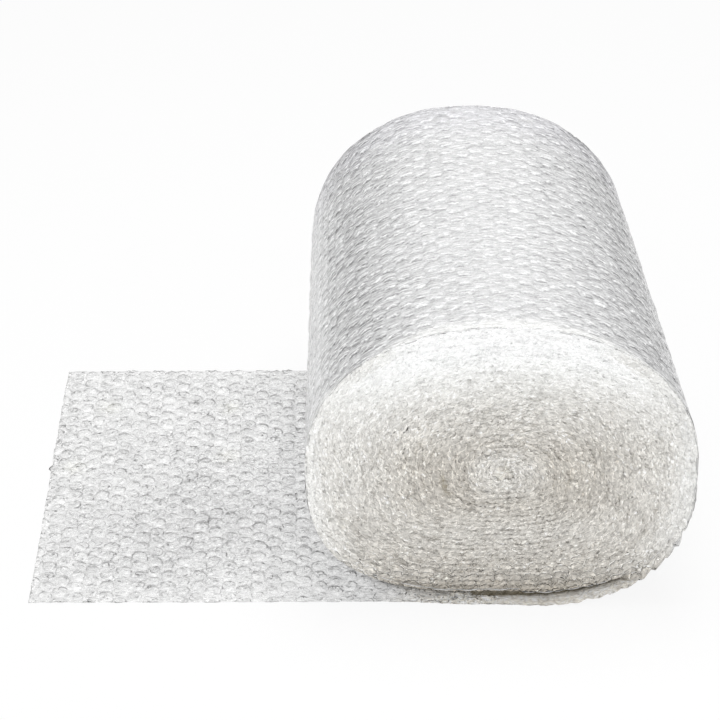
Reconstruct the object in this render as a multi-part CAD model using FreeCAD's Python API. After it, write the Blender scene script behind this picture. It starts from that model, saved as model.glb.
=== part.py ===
"""Bubble wrap roll: one long bubble film wound round itself, lying on its side, its loose end laid flat.

Millimetres, +Z up. The origin is on the floor, under the middle of the roll. Y runs along the roll from its
near end to its far end, and the loose end points to -X. The film's smooth side faces out of the roll and
down to the floor, and its bubbles face in and up. The roll is soft: it sags to an oval, flatter where it
rests, and its near end has sagged more than its far end. Every face is flat, and most are triangles.
"""

import FreeCAD, Part
import math
import os

# The film
SHEET_WIDTH = 300.0  # across the film, along the roll
TURN_THICKNESS = 4.2  # of the wound film with its bubbles
TURN_GAP = 0.4  # air between one turn and the next
FILM_STEP = 0.9  # from the floor to the valleys between the bubbles of the loose end
BUBBLE_TOP = 4.0  # from the floor to the top of a bubble there
BUBBLE_CROWN = 0.62  # share of a bubble's width that its flat top takes
BUBBLE_PITCH = 11.7  # between neighbouring bubbles, in even triangles
EDGE_MARGIN = 0.6  # least plain film left around the field of bubbles
TAIL_LENGTH = 314.0  # loose end, from under the middle of the roll to the cut
BUBBLED_FROM = 90.0  # its bubbles start this far from the middle of the roll

# The wound roll, at its near and its far end
NEAR_WIDTH = 261.0
NEAR_HEIGHT = 217.0
FAR_WIDTH = 236.0
FAR_HEIGHT = 228.0
FAR_SHIFT = -11.0  # the far end lies this much further along X
HOLLOW_RADIUS = 5.4  # of the winding's empty middle
CORE_SQUASH = 0.12  # how much flatter the innermost turns are than the outermost one
LOOSE_TURN = 17  # turns inside this one have slipped away from those outside
LOOSE_GAP = 2.2  # the slack that it left at each side
OUTER_LEAD = 8.0  # the outermost turn starts this far in front of the others, and ends in line with them
ROUND_TOP = 2.15  # exponent of the oval above its middle: nearly an ellipse
ROUND_BOTTOM = 2.7  # exponent below it: flatter
PRESSED = 0.01  # share of its half height that the oval is pressed in at the floor
FLAT_WINDING = 0.2  # radians of the winding that lie flat on the floor, to each side of the middle
RIPPLE_DEPTH = 0.5  # of the hollows between the rows of bubbles on the outermost turn
SIDES_PER_TURN = 24

FULL_TURN = 2 * math.pi
BOTTOM = -math.pi / 2
ROW_PITCH = BUBBLE_PITCH * math.sqrt(3) / 2
MEAN_RADIUS = (NEAR_WIDTH + NEAR_HEIGHT + FAR_WIDTH + FAR_HEIGHT) / 8
TURNS = (MEAN_RADIUS - HOLLOW_RADIUS) / (TURN_THICKNESS + TURN_GAP)
OUTER_END = FULL_TURN + FLAT_WINDING  # where the outermost turn has gone once round
NEAR = (NEAR_WIDTH, NEAR_HEIGHT, 0.0, -SHEET_WIDTH / 2)
FAR = (FAR_WIDTH, FAR_HEIGHT, FAR_SHIFT, SHEET_WIDTH / 2)


def share_out(wound):
    """How far out the film lies after winding by this angle: 1 outermost, near 0 in the middle."""
    hollow = HOLLOW_RADIUS / MEAN_RADIUS
    return 1 - (1 - hollow) * max(0.0, wound - FLAT_WINDING) / (FULL_TURN * TURNS)


def radius(wound, width, height, slipped):
    """Radius of the winding at one end of the roll, counted inwards from under the roll."""
    out = share_out(wound)
    half_width = width / 2 * out
    if slipped:
        half_width -= LOOSE_GAP * out / share_out(FULL_TURN * LOOSE_TURN)
    half_height = height / 2 * out * (1 - CORE_SQUASH * (1 - out))
    angle = BOTTOM + wound
    above = math.sin(angle) > 0
    power = ROUND_TOP if above else ROUND_BOTTOM
    tall = half_height if above else half_height * (1 + PRESSED)
    across = abs(math.cos(angle) / half_width) ** power
    upright = abs(math.sin(angle) / tall) ** power
    oval = (across + upright) ** (-1 / power)
    return oval if above else min(oval, half_height / max(abs(math.sin(angle)), PRESSED))


def corner(wound, end, inner=False, ripple=0.0):
    """A corner of the wound film's section: at the near or the far end, on its outer or its inner face."""
    width, height, shift, along = end
    slipped = wound >= FULL_TURN * LOOSE_TURN
    if inner:
        r = radius(wound + FULL_TURN, width, height, slipped) + TURN_GAP
    else:
        r = radius(wound, width, height, slipped) - ripple
    lead = OUTER_LEAD * min(1.0, max(0.0, (OUTER_END - wound) / FULL_TURN)) ** 2
    angle = BOTTOM + wound
    return FreeCAD.Vector(shift + r * math.cos(angle), along - lead, height / 2 + r * math.sin(angle))


def face(points):
    """A flat face from its corners."""
    return Part.Face(Part.makePolygon([*points, points[0]]))


def strip(one, other):
    """Triangles between two lines of as many points."""
    made = []
    for a, b, c, d in zip(one, one[1:], other[1:], other):
        made += [face([a, b, c]), face([a, c, d])]
    return made


def bubble_centres():
    """Rows of bubbles across the loose end, every other row moved on by half a pitch."""
    reach = BUBBLE_PITCH / math.sqrt(3) + EDGE_MARGIN
    rows = 1 + int((TAIL_LENGTH - BUBBLED_FROM - 2 * reach) / ROW_PITCH)
    in_row = int((SHEET_WIDTH - 2 * EDGE_MARGIN) / BUBBLE_PITCH - 0.5)
    margin = (SHEET_WIDTH - (in_row + 0.5) * BUBBLE_PITCH) / 2
    for row in range(rows):
        first = margin - SHEET_WIDTH / 2 + BUBBLE_PITCH * (0.5 + 0.5 * (row % 2))
        for n in range(in_row):
            yield reach - TAIL_LENGTH + row * ROW_PITCH, first + n * BUBBLE_PITCH


def cell_corners(x, y):
    """The six corners of a bubble's share of the film, to the nearest micron so that neighbours agree."""
    reach = BUBBLE_PITCH / math.sqrt(3)
    turns = [math.radians(60 * n) for n in range(6)]
    return [(round(x + reach * math.cos(t), 3), round(y + reach * math.sin(t), 3)) for t in turns]


def bubble(x, y, cell):
    """A bubble: six sloping sides from the edges of its share of the film up to a flat top."""
    low = [FreeCAD.Vector(*point, FILM_STEP) for point in cell]
    inset = [(x + BUBBLE_CROWN * (a - x), y + BUBBLE_CROWN * (b - y)) for a, b in cell]
    high = [FreeCAD.Vector(*point, BUBBLE_TOP) for point in inset]
    sides = [face([low[n - 1], low[n], high[n], high[n - 1]]) for n in range(6)]
    return [*sides, face(high)]


def bubble_field():
    """The bubbles of the loose end, and the outline of the field that they cover."""
    bubbles, rim = [], set()
    for x, y in bubble_centres():
        cell = cell_corners(x, y)
        bubbles += bubble(x, y, cell)
        for a, b in zip(cell, cell[1:] + cell[:1]):
            if (b, a) in rim:
                rim.remove((b, a))
            else:
                rim.add((a, b))
    follow = dict(rim)
    outline = [min(follow)]
    while follow[outline[-1]] != outline[0]:
        outline.append(follow[outline[-1]])
    return bubbles, [FreeCAD.Vector(*point, FILM_STEP) for point in outline]


def winding(start, sides, count, ripple=0.0):
    """Corners of a stretch of winding: outer near, outer far, inner near and inner far."""
    angles = [start + FULL_TURN * n / sides for n in range(count + 1)]
    lines = []
    for inner in (False, True):
        for end in (NEAR, FAR):
            dips = [0.0 if inner or n % 2 == 0 else ripple for n in range(count + 1)]
            lines.append([corner(wound, end, inner, dip) for wound, dip in zip(angles, dips)])
    return lines


def film_lines(end):
    """Rim of the loose end on one side of the sheet, from its cut to the roll: on the floor and on top."""
    along = end[3]
    cut, bend = -TAIL_LENGTH, -BUBBLED_FROM
    thick, lift = corner(-FLAT_WINDING, end), corner(FLAT_WINDING, end)
    places = [(cut, along), (bend, along), (thick.x, thick.y), (lift.x, lift.y)]
    return [[FreeCAD.Vector(x, y, z) for x, y in places] for z in (0.0, FILM_STEP)]


os.makedirs("parts", exist_ok=True)

# The loose end, and the stretch of it that lies flat under the roll
under_near, under_far = [
    [corner(wound, end, inner=True) for wound in (-FLAT_WINDING, 0.0, FLAT_WINDING)] for end in (NEAR, FAR)
]
(floor_near, film_near), (floor_far, film_far) = film_lines(NEAR), film_lines(FAR)
faces = [
    face(floor_near + floor_far[::-1]),
    face([floor_near[0], floor_far[0], film_far[0], film_near[0]]),
    face(floor_near[2:] + under_near[::-1] + [film_near[2]]),
    face(floor_far[2:] + under_far[::-1] + [film_far[2]]),
]
faces += strip(floor_near[:3], film_near[:3]) + strip(floor_far[:3], film_far[:3])
faces += strip([film_near[2], *under_near], [film_far[2], *under_far])
bubbles, outline = bubble_field()
film_rim = Part.makePolygon([*film_near[:3], *film_far[2::-1], film_near[0]])
film_top = Part.makeFace([film_rim, Part.makePolygon([*outline, outline[0]])], "Part::FaceMakerBullseye")
faces += bubbles + film_top.Faces

# The outermost turn, with a hollow between its rows of bubbles
rows = 2 * round(FULL_TURN * MEAN_RADIUS / ROW_PITCH)
outer_near, outer_far, inner_near, inner_far = winding(FLAT_WINDING, rows, rows, RIPPLE_DEPTH)
faces += strip(outer_near, outer_far) + strip(inner_near, inner_far)
faces += strip(outer_near, inner_near) + strip(outer_far, inner_far)

# The turns inside it, whose edges lie in one plane at each end of the roll
count = int((TURNS - 2) * SIDES_PER_TURN)
outer_near, outer_far, inner_near, inner_far = winding(OUTER_END, SIDES_PER_TURN, count)
faces += strip(outer_near, outer_far) + strip(inner_near, inner_far)
faces += [face(outer_near + inner_near[::-1]), face(outer_far + inner_far[::-1])]
faces += strip([outer_near[-1], inner_near[-1]], [outer_far[-1], inner_far[-1]])

roll = Part.Solid(Part.Shell(faces))
if roll.Volume < 0:
    roll.reverse()
roll.exportStep("parts/bubble_wrap_roll.step")
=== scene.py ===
import math

import bpy
import numpy as np
from mathutils import Matrix, Vector


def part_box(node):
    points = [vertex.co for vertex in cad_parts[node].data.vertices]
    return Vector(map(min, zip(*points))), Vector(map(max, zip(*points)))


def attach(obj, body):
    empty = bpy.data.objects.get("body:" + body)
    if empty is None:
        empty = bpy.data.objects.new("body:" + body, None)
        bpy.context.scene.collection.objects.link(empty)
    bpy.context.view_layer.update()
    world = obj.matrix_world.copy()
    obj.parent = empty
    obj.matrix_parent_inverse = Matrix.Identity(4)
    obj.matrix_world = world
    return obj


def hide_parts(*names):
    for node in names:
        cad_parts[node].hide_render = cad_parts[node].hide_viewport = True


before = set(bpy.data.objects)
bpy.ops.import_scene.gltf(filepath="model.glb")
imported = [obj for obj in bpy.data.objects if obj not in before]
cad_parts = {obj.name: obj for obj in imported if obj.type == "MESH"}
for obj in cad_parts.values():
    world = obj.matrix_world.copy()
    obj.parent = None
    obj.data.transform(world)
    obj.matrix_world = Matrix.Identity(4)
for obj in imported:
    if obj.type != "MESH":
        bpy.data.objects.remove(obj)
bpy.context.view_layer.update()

bl_info = {
    "name": "Bubble Wrap Roll",
    "version": (1, 0, 0),
    "blender": (4, 5, 0),
    "location": "3D Viewport > Sidebar > Bubble Wrap",
    "description": "Builds a roll of bubble film with its loose end laid flat, its studio and its camera",
    "category": "Add Mesh",
}

NODE = "bubble_wrap_roll"
LOW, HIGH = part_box(NODE)
BODY = "root"

FULL_TURN = 2 * math.pi
NEAR, FAR = 0, 1

# How the film is wound, in metres and radians: as in the solid, with the innermost turns sunk a little further
END_WIDTHS = (0.261, 0.236)
END_HEIGHTS = (0.217, 0.228)
END_SHIFTS = (0.0, -0.011)
HOLLOW_RADIUS = 0.0054
TURN_STEP = 0.0046
CORE_SQUASH = 0.12
LOOSE_TURN = 17
LOOSE_GAP = 0.0022
CORE_SUNK = (0.004, -0.006)
ROUND_TOP = 2.15
ROUND_BOTTOM = 2.7
PRESSED = 0.01
FLAT_WINDING = 0.2
OUTER_LEAD = 0.008
LEAD_STARTS = 0.07
FILM_LIFT = 0.0003
MEAN_RADIUS = (sum(END_WIDTHS) + sum(END_HEIGHTS)) / 8
TURNS = (MEAN_RADIUS - HOLLOW_RADIUS) / TURN_STEP
OUTER_END = FULL_TURN + FLAT_WINDING
SHEET_WIDTH = 0.3
TAIL_LENGTH = -LOW.x
TAIL_MEAN = TAIL_LENGTH + sum(END_SHIFTS) / 2


# What a user may change


class FilmSizes(bpy.types.PropertyGroup):
    """Sizes of the film and its bubbles"""

    bubble_pitch: bpy.props.FloatProperty(
        name="Bubble pitch", description="Between the middles of neighbouring bubbles",
        default=0.0117, unit="LENGTH", precision=4,
    )
    bubble_radius: bpy.props.FloatProperty(
        name="Bubble radius", description="Of the ring where a bubble is welded to the film",
        default=0.0050, unit="LENGTH", precision=4,
    )
    bubble_height: bpy.props.FloatProperty(
        name="Bubble height", description="From the smooth side of the film to the top of a bubble",
        default=0.0040, unit="LENGTH", precision=4,
    )
    pillow_depth: bpy.props.FloatProperty(
        name="Pillow depth", description="How far the smooth side sinks in between the bubbles",
        default=0.0007, unit="LENGTH", precision=4,
    )
    end_depth: bpy.props.FloatProperty(
        name="End depth", description="How far in from each end of the roll the cut bubbles are open",
        default=0.010, unit="LENGTH", precision=3,
    )


class FilmLook(bpy.types.PropertyGroup):
    """Colours and finish of the film"""

    clear: bpy.props.FloatVectorProperty(
        name="Clear film", description="Colour of the outermost turn",
        subtype="COLOR", size=3, min=0.0, max=1.0, default=(0.80, 0.80, 0.805),
    )
    single: bpy.props.FloatVectorProperty(
        name="Single layer", description="Colour of the loose end's haze",
        subtype="COLOR", size=3, min=0.0, max=1.0, default=(0.53, 0.53, 0.527),
    )
    milky: bpy.props.FloatVectorProperty(
        name="Milky layers", description="Colour of many layers that lie together",
        subtype="COLOR", size=3, min=0.0, max=1.0, default=(0.78, 0.78, 0.78),
    )
    # Painted light: the cut turns near the outside of the roll are lighter, where daylight gets in.
    rim: bpy.props.FloatVectorProperty(
        name="Rim", description="Colour of the cut turns near the outside of the roll",
        subtype="COLOR", size=3, min=0.0, max=1.0, default=(0.87, 0.87, 0.855),
    )
    # Painted shade: the cut turns in the middle are darker and warmer, where less light gets in; it is also the base of
    # the shade colour painted on single layers under the roll.
    heart: bpy.props.FloatVectorProperty(
        name="Heart", description="Colour of the cut turns in the middle of the roll",
        subtype="COLOR", size=3, min=0.0, max=1.0, default=(0.615, 0.594, 0.556),
    )
    gap: bpy.props.FloatVectorProperty(
        name="Gap", description="Colour of the shade between slack turns",
        subtype="COLOR", size=3, min=0.0, max=1.0, default=(0.15, 0.13, 0.09),
    )


# Where the film lies


def smooth(x):
    """0 below 0, 1 above 1 and an even ramp between."""
    x = np.clip(x, 0.0, 1.0)
    return x * x * (3 - 2 * x)


def share_out(wound):
    """How far out the film lies after winding by this angle: 1 outermost, near 0 in the middle."""
    hollow = HOLLOW_RADIUS / MEAN_RADIUS
    return 1 - (1 - hollow) * np.maximum(0.0, wound - FLAT_WINDING) / (FULL_TURN * TURNS)


def wound_radius(wound, end):
    """Radius of the film's smooth face at one end of the roll, after winding by this angle."""
    out = share_out(wound)
    slack = LOOSE_GAP * out / share_out(FULL_TURN * LOOSE_TURN)
    half_width = END_WIDTHS[end] / 2 * out - np.where(wound >= FULL_TURN * LOOSE_TURN, slack, 0.0)
    half_height = END_HEIGHTS[end] / 2 * out * (1 - CORE_SQUASH * (1 - out))
    across, upright = np.abs(np.sin(wound)), np.abs(np.cos(wound))
    above = np.cos(wound) < 0
    power = np.where(above, ROUND_TOP, ROUND_BOTTOM)
    tall = half_height * np.where(above, 1.0, 1 + PRESSED)
    oval = ((across / half_width) ** power + (upright / tall) ** power) ** (-1 / power)
    return np.where(above, oval, np.minimum(oval, half_height / np.maximum(upright, PRESSED)))


def section_point(wound, end, rise):
    """Where the film passes in the section at one end, that far inside its smooth face."""
    r = wound_radius(wound, end) - rise
    sunk = smooth((0.75 - share_out(wound)) / 0.6)
    x = END_SHIFTS[end] + CORE_SUNK[0] * sunk + r * np.sin(wound)
    return x, END_HEIGHTS[end] / 2 + CORE_SUNK[1] * sunk - r * np.cos(wound)


def length_table():
    """The winding angle against the length of film wound, half way between the two ends."""
    wound = np.linspace(0.0, FULL_TURN * (TURNS - 1), int(TURNS * 360))
    near, far = (np.array(section_point(wound, end, 0.0)) for end in (NEAR, FAR))
    steps = np.hypot(*np.diff((near + far) / 2, axis=1))
    return np.concatenate([[0.0], np.cumsum(steps)]), wound


WOUND_LENGTH, WOUND_ANGLE = length_table()
FILM_LENGTH = TAIL_MEAN + WOUND_LENGTH[-1]


def lay_film(along, across, rise):
    """Points of the film: along it from its cut, across it from its near edge, and above its smooth side."""
    wound = np.interp(along - TAIL_MEAN, WOUND_LENGTH, WOUND_ANGLE)
    share = across / SHEET_WIDTH
    (x0, z0), (x1, z1) = (section_point(wound, end, rise) for end in (NEAR, FAR))
    roll_x, roll_z = x0 + (x1 - x0) * share, z0 + (z1 - z0) * share
    start = END_SHIFTS[NEAR] + (END_SHIFTS[FAR] - END_SHIFTS[NEAR]) * share
    tail_x = start + (start + TAIL_LENGTH) * (along / TAIL_MEAN - 1)
    lead = OUTER_LEAD * np.minimum(1.0, np.maximum(0.0, (OUTER_END - wound) / FULL_TURN)) ** 2
    lead = lead * smooth((tail_x + LEAD_STARTS) / LEAD_STARTS + (along > TAIL_MEAN))
    x = np.where(along < TAIL_MEAN, tail_x, roll_x)
    z = np.where(along < TAIL_MEAN, rise, roll_z)
    return np.stack([x, across - SHEET_WIDTH / 2 - lead, z], axis=-1)


def edge_room(across):
    """How far a place is from the nearer edge of the film."""
    return np.minimum(across, SHEET_WIDTH - across)


# Mesh tools


def new_mesh(name, points, triangles, material, tone, place, smooth_shading=True):
    """A mesh piece that rides on the roll's body. It carries its colour and its place on the film."""
    mesh = bpy.data.meshes.new(name)
    mesh.vertices.add(len(points))
    mesh.vertices.foreach_set("co", np.ascontiguousarray(points, np.float32).ravel())
    mesh.loops.add(3 * len(triangles))
    mesh.loops.foreach_set("vertex_index", np.ascontiguousarray(triangles, np.int32).ravel())
    mesh.polygons.add(len(triangles))
    mesh.polygons.foreach_set("loop_start", np.arange(0, 3 * len(triangles), 3, dtype=np.int32))
    mesh.polygons.foreach_set("use_smooth", np.full(len(triangles), smooth_shading))
    mesh.update(calc_edges=True)
    colours = np.zeros((len(points), 4), np.float32)
    colours[:, :tone.shape[1]] = np.clip(tone, 0.0, 1.0)
    mesh.attributes.new("tone", "FLOAT_COLOR", "POINT").data.foreach_set("color", colours.ravel())
    spots = np.ascontiguousarray(place, np.float32)
    mesh.attributes.new("place", "FLOAT_VECTOR", "POINT").data.foreach_set("vector", spots.ravel())
    mesh.validate()
    mesh.materials.append(material)
    piece = bpy.data.objects.new(name, mesh)
    bpy.context.scene.collection.objects.link(piece)
    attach(piece, BODY)
    return piece


def film_piece(name, along, across, rise, triangles, material, tone, smooth_shading=True):
    """A piece of film, from its points' places on the film."""
    along, across, rise = along.ravel(), across.ravel(), rise.ravel()
    points = lay_film(along, across, rise)
    place = np.stack([along, across, rise], axis=1)
    return new_mesh(name, points, triangles, material, tone.reshape(len(along), -1), place, smooth_shading)


def ragged(along, deep, seed):
    """How far in the film's cut edge runs at each place along it."""
    chance = np.random.default_rng(seed)
    fine = np.interp(along, np.arange(0, 12, 0.0031), chance.uniform(0, 1, 3871))
    broad = np.interp(along, np.arange(0, 12, 0.013), chance.uniform(0, 1, 924))
    return deep * (0.65 * fine ** 2 + 0.35 * broad)


def winding_angle(along):
    """How far round the roll the film has gone at this place along it."""
    return np.interp(along - TAIL_MEAN, WOUND_LENGTH, WOUND_ANGLE)


def drawn_back(along):
    """How far the near edge is drawn back under the middle of the roll."""
    return 0.0045 * np.exp(-((along - TAIL_MEAN) / 0.035) ** 2)


def notches(along):
    """Steps in the near edge where it was cut through bubbles, low on the right side of the roll: 0 to 1."""
    wound = winding_angle(along)
    where = smooth((wound - 0.15) / 0.2) * smooth((1.5 - wound) / 0.4)
    chance = np.random.default_rng(77)
    size = np.interp(along, np.arange(0, 12, 0.0117), chance.uniform(0.2, 1.0, 1026))
    return where * size * (np.mod(along / 0.0117, 1.0)) ** 1.5


MOUTH = ((-1.0, 0.0), (-0.8, 2.4), (-0.5, 3.2), (-0.25, 3.0), (0.0, 2.4), (0.35, 2.3), (0.6, 2.0), (0.85, 0.8), (1.0, 0.0))


def mouth(along):
    """How far the roll's near end gapes above the film that it stands on, in metres."""
    angles, heights = zip(*MOUTH)
    return 0.001 * np.interp(winding_angle(along) - FULL_TURN, angles, heights)


def shade_under(along, across):
    """Shade on the film where the roll's near end stands over it: 0 to 1."""
    angle = np.linspace(-1.35, 0.0, 60)
    x, z = section_point(angle + FULL_TURN, NEAR, 0.0)
    here = along - TAIL_MEAN
    room = np.interp(here, x, z) + mouth(np.interp(np.interp(here, x, angle) + FULL_TURN, WOUND_ANGLE, WOUND_LENGTH) + TAIL_MEAN)
    inside = across - OUTER_LEAD * smooth((here + LEAD_STARTS) / LEAD_STARTS)
    tail = smooth((inside / (room / 0.6 + 0.002) - 0.45) / 0.5) * smooth((here + 0.104) / 0.05)
    wound = winding_angle(along)
    lead = OUTER_LEAD * np.clip((OUTER_END - wound) / FULL_TURN, 0.0, 1.0) ** 2
    roll = smooth((across - lead - 0.004) / 0.004) * smooth((1.3 - wound) / 0.3)
    return np.where(along < TAIL_MEAN, tail, roll) * smooth((0.05 - across) / 0.025)


def trim(along, across, deep, seed):
    """Keep places on the film within its two ragged long edges, and draw those near an edge out to it."""
    low = ragged(along, deep, seed) + drawn_back(along) + 0.0025 * notches(along) + 1.3 * mouth(along)
    high = SHEET_WIDTH - ragged(along, deep, seed + 1)
    across = np.where(across < 0.00095, low, np.where(across > SHEET_WIDTH - 0.00095, high, across))
    return np.clip(across, low, high)


def cell_template(pitch, rings, sides):
    """One bubble's share of the film, as rings of (reach, level) inside its six-sided cell.

    Gives the points' offsets along and across the film, their level between 0 at the welded film and 1 at
    the top, and the triangles. The last ring is the cell's own border, at level 0.
    """
    turn = FULL_TURN * np.arange(sides) / sides
    reach = pitch / 2 / np.cos((turn + FULL_TURN / 12) % (FULL_TURN / 6) - FULL_TURN / 12)
    along, across, level = [0.0], [0.0], [rings[0][1]]
    for size, height in rings[1:]:
        along.extend(size * np.sin(turn))
        across.extend(size * np.cos(turn))
        level.extend([height] * sides)
    along.extend(reach * np.sin(turn))
    across.extend(reach * np.cos(turn))
    level.extend([0.0] * sides)
    around = np.arange(sides)
    ahead = (around + 1) % sides
    triangles = [np.stack([np.zeros(sides, int), 1 + around, 1 + ahead], axis=1)]
    for ring in range(len(rings) - 1):
        a, b = 1 + ring * sides + around, 1 + ring * sides + ahead
        triangles += [np.stack([a, a + sides, b + sides], axis=1), np.stack([a, b + sides, b], axis=1)]
    return np.array(along), np.array(across), np.array(level), np.concatenate(triangles)


def lattice_steps(sizes):
    """Step from row to row along the film, bubbles in a row, and how far in from the edge they start."""
    step = sizes.bubble_pitch * math.sqrt(3) / 2
    in_row = int(SHEET_WIDTH / sizes.bubble_pitch - 0.5)
    return step, in_row, (SHEET_WIDTH - (in_row + 0.5) * sizes.bubble_pitch) / 2


def lattice(sizes, first, last):
    """Middles of the bubbles, in even triangles, with those that the long edges cut through."""
    step, in_row, margin = lattice_steps(sizes)
    rows = np.arange(math.ceil((first - step) / step), int((last - step) / step) + 1)
    row, column = (grid.ravel() for grid in np.meshgrid(rows, np.arange(-1, in_row + 1), indexing="ij"))
    along = step * (row + 1)
    across = margin + sizes.bubble_pitch * (column + 0.5 + 0.5 * (row % 2))
    inside = (across > -margin) & (across < SHEET_WIDTH + margin)
    return along[inside], across[inside]


def spread(template, along, across):
    """Copies of a cell at each bubble: offsets along and across the film, and triangles."""
    cell_along, cell_across, _, triangles = template
    count = len(cell_along)
    start = count * np.arange(len(along))
    return (
        along[:, None] + cell_along[None, :],
        across[:, None] + cell_across[None, :],
        (triangles[None, :, :] + start[:, None, None]).reshape(-1, 3),
    )


DOME_RINGS = ((0.0, 1.0), (0.36, 0.985), (0.66, 0.90), (0.87, 0.66), (0.97, 0.32), (1.02, 0.0))
LOW_DOME_RINGS = ((0.0, 1.0), (0.58, 0.93), (0.92, 0.50), (1.02, 0.0))
PILLOW_RINGS = ((0.0, 0.96), (0.45, 1.0), (0.82, 0.86), (1.02, 0.36))


def scaled(rings, radius):
    return [(size * radius, height) for size, height in rings]


def ring_shares(rings, sides, values):
    """One value for each ring of a cell, and the last for its border, at each of the cell's points."""
    return np.concatenate([[values[0]], np.repeat(values[1:len(rings)], sides), np.full(sides, values[-1])])


class Nodes:
    """A node tree, with one way to add any node."""

    def __init__(self, owner):
        owner.use_nodes = True
        self.tree = owner.node_tree
        self.tree.nodes.clear()

    def add(self, kind, settings=None, **sockets):
        """A node of this type: its settings first, then values or links of its named sockets."""
        node = self.tree.nodes.new(kind)
        for name, value in (settings or {}).items():
            setattr(node, name, value)
        for name, value in sockets.items():
            self.feed(self.socket(node, name), value)
        return node

    @staticmethod
    def socket(node, name):
        if name[0] == "_":
            return node.inputs[int(name[1:])]
        return node.inputs[name.replace("_", " ")]

    def feed(self, socket, value):
        if isinstance(value, Value):
            self.tree.links.new(value.socket, socket)
        elif isinstance(value, bpy.types.NodeSocket):
            self.tree.links.new(value, socket)
        else:
            socket.default_value = value

    def value(self, socket):
        return Value(self, socket)


class Value:
    """A number in a node tree: sums and products of it add the Math nodes."""

    def __init__(self, nodes, socket):
        self.nodes = nodes
        self.socket = socket

    def math(self, operation, *others):
        sockets = {f"_{n}": value for n, value in enumerate(others)}
        node = self.nodes.add("ShaderNodeMath", {"operation": operation}, **sockets)
        return Value(self.nodes, node.outputs[0])

    def __add__(self, other):
        return self.math("ADD", self, other)

    __radd__ = __add__

    def __mul__(self, other):
        return self.math("MULTIPLY", self, other)

    __rmul__ = __mul__

    def __sub__(self, other):
        return self.math("SUBTRACT", self, other)

    def __rsub__(self, other):
        return self.math("SUBTRACT", other, self)

    def __pow__(self, other):
        return self.math("POWER", self, other)

    def clamped(self, low=0.0, high=1.0):
        return self.math("MAXIMUM", self.math("MINIMUM", self, high), low)


def grain(nodes, vector, scale, detail=2.0):
    """Even noise over this vector, between 0 and 1."""
    noise = nodes.add(
        "ShaderNodeTexNoise", {"noise_dimensions": "3D"}, Vector=vector, Scale=scale, Detail=detail, Roughness=0.6
    )
    return nodes.value(noise.outputs["Fac"])


def bubble_lines(nodes, place):
    """Painted highlights and painted shade on the bubbles' edges: bright and dark dashes which run along the film, a
    bright and a dark value.
    """
    step, _, margin = lattice_steps(bpy.context.scene.film_sizes)
    pitch = bpy.context.scene.film_sizes.bubble_pitch
    parts = nodes.add("ShaderNodeSeparateXYZ", Vector=place)
    along, across = (nodes.value(parts.outputs[n]) for n in (0, 1))
    row = along * (1 / step) - 1.0 + (grain(nodes, place, 130.0) - 0.5) * 0.5
    nearest = row.math("ROUND", row)
    beside = row - nearest
    odd = nearest.math("MODULO", nearest, 2.0)
    column = (across - margin) * (1 / pitch) - 0.5 - odd * 0.5 + (grain(nodes, place, 210.0) - 0.5) * 0.5
    aside = column - column.math("ROUND", column)
    reach = (2.2 - beside.math("ABSOLUTE", beside) * 4.2).clamped()
    bright = (1.0 - (aside + 0.30).math("ABSOLUTE", aside + 0.30) * 12.0).clamped() * reach
    dark = (1.0 - (0.48 - aside.math("ABSOLUTE", aside)) * 17.0).clamped() * reach
    twice = (across - margin) * (2 / pitch) + (grain(nodes, place, 90.0) - 0.5) * 0.8
    between = twice - twice.math("ROUND", twice)
    broken = (grain(nodes, place, 190.0) * 3.2 - 0.9).clamped()
    bright = bright * 0.8 + (1.0 - (between + 0.10).math("ABSOLUTE", between + 0.10) * 6.5).clamped() * broken * 0.4
    dark = dark * 0.8 + (1.0 - (0.48 - between.math("ABSOLUTE", between)) * 8.0).clamped() * broken * 0.6
    return bright, dark


def dome_lines(nodes, place):
    """Painted highlights and painted shade as bright and dark outlines of bubbles that stand in their turn, seen from
    the end of the roll.
    """
    step, _, _ = lattice_steps(bpy.context.scene.film_sizes)
    parts = nodes.add("ShaderNodeSeparateXYZ", Vector=place)
    along, rise = nodes.value(parts.outputs[0]), nodes.value(parts.outputs[2])
    row = along * (1 / step) + (grain(nodes, place, 110.0) - 0.5) * 0.9
    beside = (row - row.math("ROUND", row)) * 2.1
    arch = (1.0 - beside * beside).clamped() ** 0.5
    off = (rise + (grain(nodes, place, 260.0) - 0.5) * 0.0022) * (1 / TURN_STEP) - arch * 0.84
    bright = (1.0 - (off - 0.15).math("ABSOLUTE", off - 0.15) * 8.0).clamped()
    dark = (1.0 - off.math("ABSOLUTE", off) * 8.0).clamped()
    return bright, dark


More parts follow.
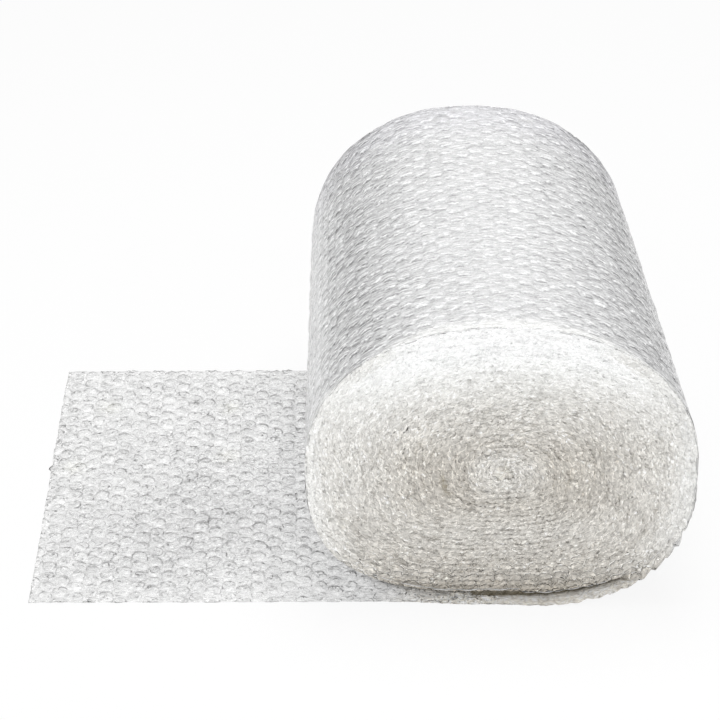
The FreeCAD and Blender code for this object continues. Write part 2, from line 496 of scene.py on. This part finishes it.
def film_material(name, alpha_face, alpha_edge, roughness, speckle, crinkle, glints, lines=None):
    """Thin clear film: clearer when seen squarely, hazy at a glancing view, full of fine wrinkles."""
    material = bpy.data.materials.new(name)
    nodes = Nodes(material)
    own = nodes.add("ShaderNodeAttribute", {"attribute_name": "tone"})
    place = nodes.add("ShaderNodeAttribute", {"attribute_name": "place"}).outputs["Vector"]
    drawn = nodes.add(
        "ShaderNodeVectorMath", {"operation": "MULTIPLY"}, _0=place, _1=(0.34, 1.0, 1.0)
    ).outputs[0]
    streaks = grain(nodes, drawn, 520.0)
    specks = grain(nodes, place, 1100.0)
    shade = 1.0 + ((streaks - 0.5) * 1.6 + (specks - 0.5) * 1.2) * speckle
    # painted glints: bright specks in the base colour
    shade = shade + ((grain(nodes, drawn, 760.0) - 0.60) * 9.0).clamped() * glints
    height = streaks * 1.6 + grain(nodes, place, 380.0)
    own_alpha = nodes.value(own.outputs["Alpha"])
    if lines:
        # the lines' bright and dark dashes are painted highlights and painted shade, and the wrinkles painted light and
        # shade, as strong as the tone's alpha; they also raise the bump
        bright, dark = lines(nodes, place)
        wrinkles = (grain(nodes, drawn, 300.0) - 0.5) * 1.4
        shade = shade + (bright * 1.7 - dark * 0.75 + wrinkles * 1.0) * own_alpha
        height = height + (bright - dark + wrinkles) * own_alpha * 1.2
    colour = nodes.add(
        "ShaderNodeMix", {"data_type": "RGBA", "blend_type": "MULTIPLY", "clamp_result": True},
        _0=1.0, _6=own.outputs["Color"], _7=shade.clamped(0.0, 2.2),
    ).outputs[2]
    bump = nodes.add("ShaderNodeBump", Strength=1.0, Distance=crinkle, Height=height)
    shader = nodes.add("ShaderNodeBsdfPrincipled", Base_Color=colour, Roughness=roughness, IOR=1.5)
    if alpha_edge < 1.0:
        facing = nodes.value(nodes.add("ShaderNodeLayerWeight", Blend=0.5).outputs["Facing"])
        alpha = alpha_face + (alpha_edge - alpha_face) * facing + (grain(nodes, drawn, 640.0) - 0.5) * speckle
        if not lines:
            alpha = alpha + (1.0 - alpha) * own_alpha
        nodes.feed(shader.inputs["Alpha"], alpha.clamped())
    nodes.feed(shader.inputs["Normal"], bump.outputs["Normal"])
    nodes.add("ShaderNodeOutputMaterial", Surface=shader.outputs["BSDF"])
    return material


FINISHES = {
    "Clear Film": (0.60, 0.95, 0.12, 0.5, 0.0007, 0.2, bubble_lines),
    "Bubble Film": (0.40, 0.80, 0.12, 0.4, 0.0005, 0.0),
    "Loose End Film": (0.42, 0.53, 0.14, 1.1, 0.0008, 0.8),
    "Cut Edges": (1.0, 1.0, 0.10, 0.35, 0.0004, 0.6, dome_lines),
    "Milky Layers": (1.0, 1.0, 0.35, 0.3, 0.0006, 0.0),
}


def finish(name):
    return bpy.data.materials.get(name) or film_material(name, *FINISHES[name])


# Pieces


def bubble_levels(sizes, chance, along, across, top):
    """Each bubble's height: most are nearly full, some have lost air, and those at an edge were cut open."""
    share = chance.uniform(0.86, 1.0, len(along))
    share = np.where(chance.random(len(along)) < 0.12, share * chance.uniform(0.55, 0.85, len(along)), share)
    edge = edge_room(across) < 0.6 * sizes.bubble_pitch
    edge |= along < 0.6 * sizes.bubble_pitch
    share = np.where(edge, share * chance.uniform(0.2, 0.5, len(along)), share)
    return top * share


def crumple(chance, shape, level, size):
    """Small dents on what stands above the welded film."""
    return chance.normal(0.0, size, shape) * (level[None, :] > 0.05)


HAZY = ((-0.195, -0.045, 0.06, 0.2), (-0.27, 0.11, 0.055, -0.2), (-0.235, -0.12, 0.05, 0.1))
TINTED = ((-0.272, 0.095), (-0.180, 0.095), (-0.293, 0.015), (-0.180, 0.029))


class BUBBLE_OT_loose_end(bpy.types.Operator):
    """Lay the loose end flat on the floor, with its bubbles up"""

    bl_idname = "bubble.loose_end"
    bl_label = "Loose End"

    def execute(self, context):
        sizes, look = context.scene.film_sizes, context.scene.film_look
        along, across = lattice(sizes, 0.0, TAIL_MEAN)
        template = cell_template(sizes.bubble_pitch, scaled(DOME_RINGS, sizes.bubble_radius), 12)
        level = template[2]
        chance = np.random.default_rng(4)
        s, v, triangles = spread(template, along, across)
        height = bubble_levels(sizes, chance, along, across, sizes.bubble_height)
        height *= chance.uniform(0.4, 0.85, len(along))
        height *= 1 - 0.85 * smooth((along - TAIL_MEAN + 0.1) / 0.03) * (across < 0.05)
        rise = FILM_LIFT + (height[:, None] - FILM_LIFT) * level[None, :]
        dent = chance.gamma(1.2, 0.0006, len(along)).clip(0.0, 0.0022)
        inner = np.hypot(s - along[:, None], v - across[:, None]) < 0.45 * sizes.bubble_radius
        tilt = chance.normal(0.0, 0.12, (2, len(along), 1))
        rise = rise - dent[:, None] * inner + crumple(chance, rise.shape, level, 0.0003)
        rise = rise + ((s - along[:, None]) * tilt[0] + (v - across[:, None]) * tilt[1]) * level[None, :]
        lean = chance.normal(0.0, 0.0006, (2, len(along)))
        s = s + lean[0][:, None] * level[None, :] + crumple(chance, rise.shape, level, 0.0005)
        v = v + lean[1][:, None] * level[None, :] + crumple(chance, rise.shape, level, 0.0005)
        s = np.clip(s, ragged(v, 0.0015, 11), None)
        v = trim(s, v, 0.0012, 12)
        # painted light: the bubbles' steep sides are lighter, to offset their shade
        shares = ring_shares(DOME_RINGS, 12, (1.0, 1.0, 1.05, 1.28, 1.38, 1.22, 0.98))
        tone = shares[None, :] * chance.uniform(0.88, 1.12, len(along))[:, None]
        tone = tone * chance.normal(1.0, 0.12, rise.shape)
        tone = tone[..., None] * np.array(look.single)
        # Painted shade where the roll's near end stands over the loose end: the shade colour of a single layer near the
        # roll's foot and the gap colour right under it, where the film turns opaque.
        shaded = (smooth((s - TAIL_MEAN + 0.088) / 0.06) * smooth((0.06 - v) / 0.02))[..., None]
        shade_brown = np.array(look.heart) * (1.55, 1.50, 1.42) * np.exp(chance.normal(0.0, 0.22, rise.shape))[..., None]
        tone = tone * (1 - shaded) + shade_brown * shaded
        deep = shade_under(s, v)[..., None]
        tone = tone * (1 - 0.75 * deep) + 0.75 * np.array(look.gap) * deep
        hazy = np.zeros(s.shape)
        for x, y, size, more in HAZY:
            hazy += more * np.exp(-((s - TAIL_MEAN - x) ** 2 + (v - SHEET_WIDTH / 2 - y) ** 2) / size ** 2)
        tone = tone * (1 - 0.8 * hazy[..., None])
        dense = np.maximum(np.maximum(hazy, 0.0)[..., None], np.maximum(0.8 * shaded, deep))
        for x, y in TINTED:
            near = np.exp(-((s - TAIL_MEAN - x) ** 2 + (v - SHEET_WIDTH / 2 - y) ** 2) / 0.008 ** 2)
            tone = tone * (1 - near[..., None] * (0.03, 0.03, 0.10))
        nub = np.exp(-(((v - 0.164) / 0.0022) ** 4) - (s / 0.0018) ** 2)
        s = s - 0.0022 * nub
        tone = tone * (1 - 0.7 * nub[..., None])
        piece = film_piece(
            "loose_end", s, v, np.clip(rise, 0.0002, None), triangles, finish("Loose End Film"),
            np.concatenate([tone, dense], axis=-1),
        )
        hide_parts(NODE)
        return {"FINISHED"}


def outer_cells(sizes, rings, sides):
    """The bubbles of the outermost turn: places of their cells' points, and triangles."""
    turn = np.interp(OUTER_END, WOUND_ANGLE, WOUND_LENGTH)
    along, across = lattice(sizes, TAIL_MEAN, TAIL_MEAN + turn)
    template = cell_template(sizes.bubble_pitch, scaled(rings, sizes.bubble_radius), sides)
    return along, across, template[2], *spread(template, along, across)


def round_the_roll(wound, stops):
    """A value that changes round the roll: stops are (angle from under it, up its right side, value)."""
    angles, values = zip(*stops)
    return np.interp(np.mod(wound, FULL_TURN), angles, values)


# Painted light and shade round the outermost turn: darker flanks and light bands near the sides, as (angle round the
# roll, brightness).
FLANK_LIGHT_AND_SHADE = (
    (0.0, 0.8), (0.9, 0.80), (1.4, 0.86), (1.7, 1.03), (1.9, 0.98), (2.05, 0.76), (2.2, 0.67), (2.4, 0.74),
    (2.6, 0.79), (2.9, 0.85), (3.3, 0.85), (3.46, 0.84), (3.6, 0.82), (3.72, 0.77), (3.86, 0.74), (4.0, 0.67),
    (4.1, 0.73), (4.2, 0.84), (4.35, 1.10), (4.5, 1.18), (5.2, 1.18), (6.28, 1.0),
)
# How strongly the painted highlights and shade of the bubbles' dashes and wrinkles show round the roll.
DASH_STRENGTH = (
    (0.0, 0.5), (0.9, 0.9), (1.5, 0.9), (2.2, 1.0), (2.7, 0.55), (3.14, 0.28),
    (3.5, 0.45), (3.9, 0.9), (4.25, 1.0), (4.4, 0.2), (5.2, 0.2), (6.28, 0.4),
)


class BUBBLE_OT_outer_turn(bpy.types.Operator):
    """Wind the outermost turn, smooth side out, drawn in between its bubbles"""

    bl_idname = "bubble.outer_turn"
    bl_label = "Outer Turn"

    def execute(self, context):
        sizes, look = context.scene.film_sizes, context.scene.film_look
        along, across, level, s, v, triangles = outer_cells(sizes, PILLOW_RINGS, 12)
        chance = np.random.default_rng(7)
        depth = sizes.pillow_depth * chance.uniform(0.75, 1.15, len(along))
        sink = depth[:, None] * (1 - level[None, :]) + np.abs(crumple(chance, s.shape, level, 0.00012))
        flat = smooth((edge_room(v) - 0.001) / 0.012)
        waves = np.sin(s * 160 + np.sin(v * 90) * 2) * np.sin(v * 130 + s * 37) + np.sin(s * 75 - v * 210 + 1.0)
        s = s + crumple(chance, s.shape, level, 0.0002)
        wound = winding_angle(s)
        lifted = smooth((np.minimum(wound, FULL_TURN - wound) - 0.2) / 0.5)
        rise = sink * flat + 0.0003 * (1 - flat) + 0.00035 * waves * lifted
        rise = rise + self.rim_rise(s, v)
        v = trim(s, v, 0.0012 + 0.0022 * smooth((s - TAIL_MEAN) / 0.03) * smooth((2.2 - wound) / 0.8), 21)
        shares = ring_shares(PILLOW_RINGS, 12, (0.99, 0.98, 1.01, 0.99, 0.96))
        tone = shares[None, :] * chance.uniform(0.96, 1.03, len(along))[:, None]
        tone = tone * chance.normal(1.0, 0.04, s.shape) * round_the_roll(wound, FLANK_LIGHT_AND_SHADE)
        # Painted light and shade on a strip along the near edge: the rim colour high up, where daylight gets in, and
        # the shade colour of single layers low down, where the roll stands on the loose end.
        narrow = 1 - 0.8 * np.exp(-((wound - 2.1) / 0.5) ** 2) - 0.9 * np.exp(-((wound - 4.0) / 0.35) ** 2)
        pale = (1 - smooth(v / (0.016 * narrow)))[..., None]
        low = smooth((1.1 - wound) / 0.6)[..., None]
        speckled = np.exp(chance.normal(0.0, 0.25, s.shape))[..., None]
        rim = np.array(look.rim) * (1 - low) + np.array(look.heart) * (1.55, 1.50, 1.42) * speckled * low
        far = smooth((v - 0.24) / 0.05)[..., None]
        tone = tone[..., None] * np.array(look.clear) * (1 - far * (0.02, 0.025, 0.0))
        tone = tone * (1 - 0.12 * smooth((v - SHEET_WIDTH + 0.008) / 0.005))[..., None] * (1 - pale) + rim * pale
        # painted shade under the roll's near end
        deep = 0.75 * shade_under(s, v)[..., None]
        tone = tone * (1 - deep) + np.array(look.gap) * deep
        dash_strength = round_the_roll(wound, DASH_STRENGTH)[..., None] * (1 - pale)
        film_piece(
            "outer_turn", s, v, rise, triangles, finish("Clear Film"), np.concatenate([tone, dash_strength], axis=-1)
        )
        return {"FINISHED"}

    @staticmethod
    def rim_rise(s, v):
        """How far the near edge is drawn in, at its notches and where the roll gapes."""
        return 0.002 * notches(s) * (1 - smooth(v / 0.014)) + mouth(s) * (1 - smooth((v - 0.004) / 0.02))


class BUBBLE_OT_outer_bubbles(bpy.types.Operator):
    """Add the bubbles of the outermost turn, which face into the roll"""

    bl_idname = "bubble.outer_bubbles"
    bl_label = "Outer Bubbles"

    def execute(self, context):
        sizes, look = context.scene.film_sizes, context.scene.film_look
        along, across, level, s, v, triangles = outer_cells(sizes, LOW_DOME_RINGS, 12)
        chance = np.random.default_rng(9)
        base = sizes.pillow_depth * 1.3
        height = bubble_levels(sizes, chance, along, across, sizes.bubble_height)
        height *= 1 - 0.8 * smooth((0.95 - winding_angle(along)) / 0.2) * (across < 0.024)
        height = np.maximum(height, base)
        rise = base + (height[:, None] - base) * level[None, :]
        rise = rise + crumple(chance, s.shape, level, 0.0002) + BUBBLE_OT_outer_turn.rim_rise(s, v)
        tone = chance.uniform(0.9, 1.06, len(along))[:, None] * (0.92 + 0.1 * level[None, :])
        # Painted shade low on the near edge and under the roll's near end, where the bubbles also turn opaque.
        low = (smooth((1.1 - winding_angle(s)) / 0.3) * (1 - smooth((v - 0.01) / 0.02)))[..., None]
        shade_brown = np.array(look.heart) * (1.55, 1.50, 1.42) * np.exp(chance.normal(0.0, 0.3, s.shape))[..., None]
        tone = tone[..., None] * np.array(look.clear) * (1 - low) + shade_brown * low
        deep = shade_under(s, v)[..., None]
        tone = np.concatenate([tone * (1 - 0.75 * deep) + 0.75 * np.array(look.gap) * deep, deep], axis=-1)
        film_piece("outer_bubbles", s, trim(s, v, 0.0014, 21), rise, triangles, finish("Bubble Film"), tone)
        return {"FINISHED"}


class BUBBLE_OT_second_turn(bpy.types.Operator):
    """Wind the next turn in, milky with all the layers below it"""

    bl_idname = "bubble.second_turn"
    bl_label = "Second Turn"

    def execute(self, context):
        sizes, look = context.scene.film_sizes, context.scene.film_look
        first, last = np.interp([OUTER_END, OUTER_END + FULL_TURN], WOUND_ANGLE, WOUND_LENGTH) + TAIL_MEAN
        along, across = lattice(sizes, first, last)
        template = cell_template(sizes.bubble_pitch, scaled(((0.0, 1.0), (0.9, 0.7)), sizes.bubble_radius), 12)
        s, v, triangles = spread(template, along, across)
        rise = sizes.pillow_depth * 0.9 * (1 - template[2][None, :]) + 0 * s
        tone = (0.9 + 0.12 * template[2][None, :, None]) * np.array(look.milky) + 0 * s[..., None]
        film_piece(
            "second_turn", s, trim(s, v, 0.002, 31), rise, triangles, finish("Milky Layers"), tone
        )
        return {"FINISHED"}


def end_tone(look, points, share, chance):
    """Colour of the cut turns, with light and shade painted in: painted light where daylight gets in near the top and
    the rim, painted shade in the warm heart, low down, beside the middle and at the shoulders; its alpha is how
    strongly the bubbles' painted outlines show.
    """
    tall = END_HEIGHTS[NEAR]
    high = points[:, 2] / tall
    lit = np.interp(
        high,
        [0.0, 0.1, 0.18, 0.25, 0.32, 0.4, 0.55, 0.7, 0.82, 0.93],
        [-1.0, -0.30, -0.10, 0.04, 0.02, 0.06, 0.1, 0.5, 1.0, 1.4],
    )
    left = np.clip(-points[:, 0] / 0.11, 0.0, 1.0)
    ring = np.interp(
        share + 0.17 * left, [0.0, 0.1, 0.2, 0.3, 0.5, 0.65, 0.8, 0.9, 1.0],
        [0.1, 0.1, -0.05, -0.25, -0.22, -0.1, 0.1, 0.25, 0.3],
    )
    lit = lit + ring * smooth((high - 0.25) / 0.15)
    # painted shade beside the middle, at mid height
    beside = smooth((share - 0.15) / 0.1) * smooth((0.62 - share) / 0.2)
    lit = lit - 0.15 * np.exp(-((high - 0.46) / 0.12) ** 2) * beside
    angle = np.abs(np.arctan2(points[:, 0], tall / 2 - points[:, 2]))
    # painted shade at the shoulders of the rim
    shoulder = np.exp(-((angle - 2.33) / 0.22) ** 2) * smooth((share - 0.9) / 0.06)
    rim = 0.85 * smooth((share - 0.80) / 0.18) * smooth(high / 0.4)
    light = lit + np.maximum(0.0, rim - np.maximum(lit, 0.0)) - 0.7 * shoulder
    tone = np.array(look.heart) + light[:, None] * (np.array(look.rim) - np.array(look.heart))
    # random specks; the brightest few are painted glints
    speck = np.exp(chance.normal(0.0, 0.15, len(points)))
    pick = chance.random(len(points))
    speck = np.where(pick < 0.03, speck * 0.7, np.where(pick > 0.95, speck * 1.5, speck))
    calm = np.clip(light, 0.0, 1.0) - 0.3 * np.exp(-((high - 0.5) / 0.12) ** 2)
    # how strongly the painted outlines of the bubbles show: strongest low down, weaker where the face is lit
    outlined = 0.25 + 0.75 * (1 - smooth((high - 0.02) / 0.22))
    tone = tone * (speck ** (1 - 0.7 * calm))[:, None]
    return np.concatenate([tone, outlined[:, None] * (1 - 0.6 * np.clip(light, 0.0, 1.0))[:, None]], axis=1)


class BUBBLE_OT_cut_edges(bpy.types.Operator):
    """Crumple the cut edges of every turn, with the bubbles that were cut open, at both ends of the roll"""

    bl_idname = "bubble.cut_edges"
    bl_label = "Cut Edges"

    def execute(self, context):
        for name, near, seed in (("near_edges", True, 41), ("far_edges", False, 42)):
            self.skin(context, name, near, seed)
        return {"FINISHED"}

    @staticmethod
    def skin(context, name, near, seed):
        sizes, look = context.scene.film_sizes, context.scene.film_look
        chance = np.random.default_rng(seed)
        along = np.arange(TAIL_MEAN - (0.016 if near else 0.0), FILM_LENGTH, 0.0014)
        levels = np.array([-0.12, 0.12, 0.34, 0.54, 0.74, 0.95, 1.24]) * TURN_STEP
        hollow = np.array([0.05, 0.35, 0.8, 1.0, 0.8, 0.35, 0.15])
        shape = (len(along), len(levels))
        spot = np.interp(along, np.arange(0, 12, 0.0085), chance.random(1412))
        wound_at = np.interp(along - TAIL_MEAN, WOUND_LENGTH, WOUND_ANGLE)
        opening = sizes.end_depth * (0.04 + 0.14 * smooth((spot - 0.45) / 0.5)) * (wound_at > OUTER_END)
        depth = opening[:, None] * hollow[None, :] + np.abs(chance.normal(0.0, 0.00055, shape))
        s = along[:, None] + chance.normal(0.0, 0.0006, shape)
        rise = levels[None, :] + chance.normal(0.0, 0.00055, shape)
        wound = np.interp(s - TAIL_MEAN, WOUND_LENGTH, WOUND_ANGLE)
        slack = np.clip(np.abs(wound / FULL_TURN - LOOSE_TURN + 0.5) * -40 + 21, 0.0, 1.0)
        rise = rise * (1 + slack * np.abs(np.sin(wound)) * LOOSE_GAP / TURN_STEP)
        outermost = wound < OUTER_END
        rise = np.where(outermost, np.clip(rise, 0.0004, None), rise)
        # under: the outermost turn's edge low under the roll is set back into a dark sheet of painted shade
        under = smooth((0.85 - wound) / 0.2) * outermost
        lead = OUTER_LEAD * np.clip((OUTER_END - wound) / FULL_TURN, 0.0, 1.0) ** 2
        depth = depth + 0.014 * under
        depth = depth + ragged(s, 0.0034, 21) * smooth((s - TAIL_MEAN) / 0.03) * smooth((2.2 - wound) / 0.8)
        slope = lead * (levels[None, :] / TURN_STEP).clip(0.0, 1.0) * (1 - under)
        if near:
            turn, angle = np.divmod(wound + np.pi, FULL_TURN)
            tucked = 0.0022 * smooth((0.9 - np.abs(angle - np.pi)) / 0.5) * np.clip(1.6 - 0.4 * turn, 0.0, 1.0)
            depth = depth + tucked * (1 - under) + 0.0025 * notches(s)
            squashed = np.where(outermost & (wound < np.pi), 0.0, mouth(np.minimum(s, s * 0 + along[:, None])))
            rise = squashed + rise * (1 - squashed / TURN_STEP + 0.8 * under) + 0.002 * notches(s)
        v = depth + slope if near else SHEET_WIDTH - depth + slope
        rows, columns = shape
        a = (np.arange(rows - 1)[:, None] * columns + np.arange(columns - 1)[None, :]).ravel()
        triangles = np.concatenate([
            np.stack([a, a + columns, a + columns + 1], axis=1),
            np.stack([a, a + columns + 1, a + 1], axis=1),
        ])
        points = lay_film(s.ravel(), v.ravel(), rise.ravel())
        tone = end_tone(look, points, share_out(wound).ravel(), chance)
        angle = np.mod(wound, FULL_TURN)
        # Painted shade in the gaps beside the slack turns: dark warm crescents left and right of the middle.
        left = smooth(1.3 - np.abs(angle - 1.5 * np.pi - 0.28) / 0.3)
        right = 0.5 * smooth(1.3 - np.abs(angle - 0.5 * np.pi + 0.2) / 0.25)
        thin = np.array([0.0, 0.0, 0.2, 0.6, 1.0, 1.0, 0.4])[None, :]
        slack_shade = 0.75 * slack * np.maximum(left, right) * thin * chance.uniform(0.6, 1.2, shape)
        dark = np.maximum(slack_shade, under).ravel()[:, None]
        tone[:, :3] = tone[:, :3] * (1 - dark) + np.array(look.gap) * (1 + 0.7 * slack_shade.ravel()[:, None]) * dark
        tone[:, 3:] *= 1 - dark
        film_piece(name, s, v, rise, triangles, finish("Cut Edges"), tone, smooth_shading=False)


class BUBBLE_OT_inner_film(bpy.types.Operator):
    """Close the roll behind its cut edges with its milky layers"""

    bl_idname = "bubble.inner_film"
    bl_label = "Inner Layers"

    def execute(self, context):
        look = context.scene.film_look
        depth = context.scene.film_sizes.end_depth
        self.middle(look, "near_middle", 0.0025, 51)
        self.middle(look, "far_middle", SHEET_WIDTH - 0.0025, 52)
        for name, across in (("near_plug", depth), ("far_plug", SHEET_WIDTH - depth)):
            sides = 96
            wound = FULL_TURN * (1 + np.arange(sides) / sides)
            share = across / SHEET_WIDTH
            (x0, z0), (x1, z1) = (section_point(wound, end, 0.001) for end in (NEAR, FAR))
            x, z = x0 + (x1 - x0) * share, z0 + (z1 - z0) * share
            y = across - SHEET_WIDTH / 2
            points = np.concatenate([[[x.mean(), y, z.mean()]], np.stack([x, 0 * x + y, z], axis=1)])
            around = np.arange(sides)
            faces = np.stack([0 * around, 1 + around, 1 + (around + 1) % sides], axis=1)
            # painted shade: the plugs deep in the roll take a colour darker than the heart
            tone = np.broadcast_to(np.array(look.heart) * 0.7, points.shape)
            new_mesh(name, points, faces, finish("Milky Layers"), tone, points)
        return {"FINISHED"}

    @staticmethod
    def middle(look, name, across, seed):
        """The film's inner end, crumpled into the winding's empty middle."""
        chance = np.random.default_rng(seed)
        share = across / SHEET_WIDTH
        tall = END_HEIGHTS[NEAR] + (END_HEIGHTS[FAR] - END_HEIGHTS[NEAR]) * share
        centre = (END_SHIFTS[FAR] * share + CORE_SUNK[0], tall / 2 + CORE_SUNK[1])
        sides, rings = 24, 6
        turn = FULL_TURN * np.arange(sides) / sides
        reach = (np.arange(rings) + 1)[:, None] / rings * HOLLOW_RADIUS * 1.9 + chance.normal(0, 0.0003, (rings, sides))
        x = centre[0] + reach * np.sin(turn)[None, :] * 1.05
        z = centre[1] + reach * np.cos(turn)[None, :] * 0.85
        y = across - SHEET_WIDTH / 2 + chance.normal(0, 0.0008, (rings, sides))
        points = np.stack([x, y, z], axis=-1).reshape(-1, 3)
        points = np.concatenate([[[centre[0], across - SHEET_WIDTH / 2, centre[1]]], points])
        around = np.arange(sides)
        ahead = (around + 1) % sides
        faces = [np.stack([0 * around, 1 + around, 1 + ahead], axis=1)]
        for ring in range(rings - 1):
            a, b = 1 + ring * sides + around, 1 + ring * sides + ahead
            faces += [np.stack([a, a + sides, b + sides], axis=1), np.stack([a, b + sides, b], axis=1)]
        tone = 1.35 * np.array(look.heart) * np.exp(chance.normal(0.0, 0.18, (len(points), 1)))
        new_mesh(name, points, np.concatenate(faces), finish("Cut Edges"), tone, points, smooth_shading=False)


# Studio


class BUBBLE_OT_studio(bpy.types.Operator):
    """Set up the pale floor, the soft lights and the camera"""

    bl_idname = "bubble.studio"
    bl_label = "Studio"

    def execute(self, context):
        scene = context.scene
        self.floor()
        self.world(scene)
        self.lamp("top_light", (0.0, 0.1, 1.6), (0.0, 0.0, 0.0), 1.0, 16.0)
        self.lamp("front_light", (-0.3, -2.0, 0.9), (0.0, 0.0, 0.1), 1.4, 12.0)
        self.lamp("left_glint", (-1.1, -0.9, 1.3), (0.0, 0.0, 0.1), 0.13, 2.2)
        self.lamp("right_glint", (1.1, -0.9, 1.3), (0.0, 0.0, 0.1), 0.13, 2.2)
        self.lamp("front_glint", (0.3, -1.6, 1.7), (0.0, 0.0, 0.1), 0.13, 2.2)
        self.camera(scene)
        scene.view_settings.view_transform = "Standard"
        return {"FINISHED"}

    @staticmethod
    def seen_white(nodes):
        """1 for rays that only look at the surroundings, 0 for those that light the object."""
        path = nodes.add("ShaderNodeLightPath")
        looks = nodes.value(path.outputs["Is Camera Ray"]).math(
            "MAXIMUM", nodes.value(path.outputs["Is Camera Ray"]), nodes.value(path.outputs["Is Glossy Ray"])
        )
        return looks.math("MAXIMUM", looks, nodes.value(path.outputs["Is Transmission Ray"]))

    @classmethod
    def floor(cls):
        mesh = bpy.data.meshes.new("floor")
        reach = 6.0
        corners = [(-reach, -reach, 0.0), (reach, -reach, 0.0), (reach, reach, 0.0), (-reach, reach, 0.0)]
        mesh.from_pydata(corners, [], [(0, 1, 2, 3)])
        material = bpy.data.materials.new("White Floor")
        nodes = Nodes(material)
        matte = nodes.add("ShaderNodeBsdfDiffuse", Color=(0.80, 0.80, 0.80, 1.0))
        white = nodes.add("ShaderNodeEmission", Color=(1.0, 1.0, 1.0, 1.0), Strength=1.0)
        seen = cls.seen_white(nodes) * 0.88
        mix = nodes.add("ShaderNodeMixShader", _0=seen, _1=matte.outputs[0], _2=white.outputs[0])
        nodes.add("ShaderNodeOutputMaterial", Surface=mix.outputs[0])
        mesh.materials.append(material)
        floor = bpy.data.objects.new("floor", mesh)
        bpy.context.scene.collection.objects.link(floor)

    @classmethod
    def world(cls, scene):
        scene.world = bpy.data.worlds.new("Soft Studio")
        nodes = Nodes(scene.world)
        soft = nodes.add("ShaderNodeBackground", Color=(1.0, 1.0, 1.0, 1.0), Strength=0.5)
        white = nodes.add("ShaderNodeBackground", Color=(1.0, 1.0, 1.0, 1.0), Strength=1.0)
        mix = nodes.add("ShaderNodeMixShader", _0=cls.seen_white(nodes), _1=soft.outputs[0], _2=white.outputs[0])
        nodes.add("ShaderNodeOutputWorld", Surface=mix.outputs[0])

    @staticmethod
    def lamp(name, place, target, size, power):
        light = bpy.data.lights.new(name, "AREA")
        light.shape = "DISK"
        light.size = size
        light.energy = power
        lamp = bpy.data.objects.new(name, light)
        lamp.location = place
        lamp.rotation_euler = (Vector(target) - Vector(place)).to_track_quat("-Z", "Y").to_euler()
        bpy.context.scene.collection.objects.link(lamp)

    @staticmethod
    def camera(scene):
        pitch, yaw, roll = math.radians(31.0), math.radians(0.05), math.radians(-0.16)
        place = Vector((-0.09185, -1.6132, 1.069))
        ahead = Vector((math.sin(yaw) * math.cos(pitch), math.cos(yaw) * math.cos(pitch), -math.sin(pitch)))
        level = Vector((math.cos(yaw), -math.sin(yaw), 0.0))
        upright = level.cross(ahead)
        right = math.cos(roll) * level + math.sin(roll) * upright
        up = math.cos(roll) * upright - math.sin(roll) * level
        data = bpy.data.cameras.new("camera")
        data.sensor_width = 36.0
        data.lens = 134.47
        camera = bpy.data.objects.new("camera", data)
        camera.matrix_world = Matrix.Translation(place) @ Matrix((right, up, -ahead)).transposed().to_4x4()
        scene.collection.objects.link(camera)
        scene.camera = camera


STEPS = (
    BUBBLE_OT_loose_end,
    BUBBLE_OT_outer_turn,
    BUBBLE_OT_outer_bubbles,
    BUBBLE_OT_second_turn,
    BUBBLE_OT_cut_edges,
    BUBBLE_OT_inner_film,
    BUBBLE_OT_studio,
)


class BUBBLE_PT_roll(bpy.types.Panel):
    """The pieces of the roll, in the order they are made"""

    bl_label = "Bubble Wrap Roll"
    bl_idname = "BUBBLE_PT_roll"
    bl_space_type = "VIEW_3D"
    bl_region_type = "UI"
    bl_category = "Bubble Wrap"

    def draw(self, context):
        for step in STEPS:
            self.layout.operator(step.bl_idname)


CLASSES = (FilmSizes, FilmLook, *STEPS, BUBBLE_PT_roll)


def register():
    for made in CLASSES:
        bpy.utils.register_class(made)
    bpy.types.Scene.film_sizes = bpy.props.PointerProperty(type=FilmSizes)
    bpy.types.Scene.film_look = bpy.props.PointerProperty(type=FilmLook)


def unregister():
    del bpy.types.Scene.film_look
    del bpy.types.Scene.film_sizes
    for made in reversed(CLASSES):
        bpy.utils.unregister_class(made)


def main():
    register()
    for step in STEPS:
        group, name = step.bl_idname.split(".")
        getattr(getattr(bpy.ops, group), name)()


if __name__ == "__main__":
    main()
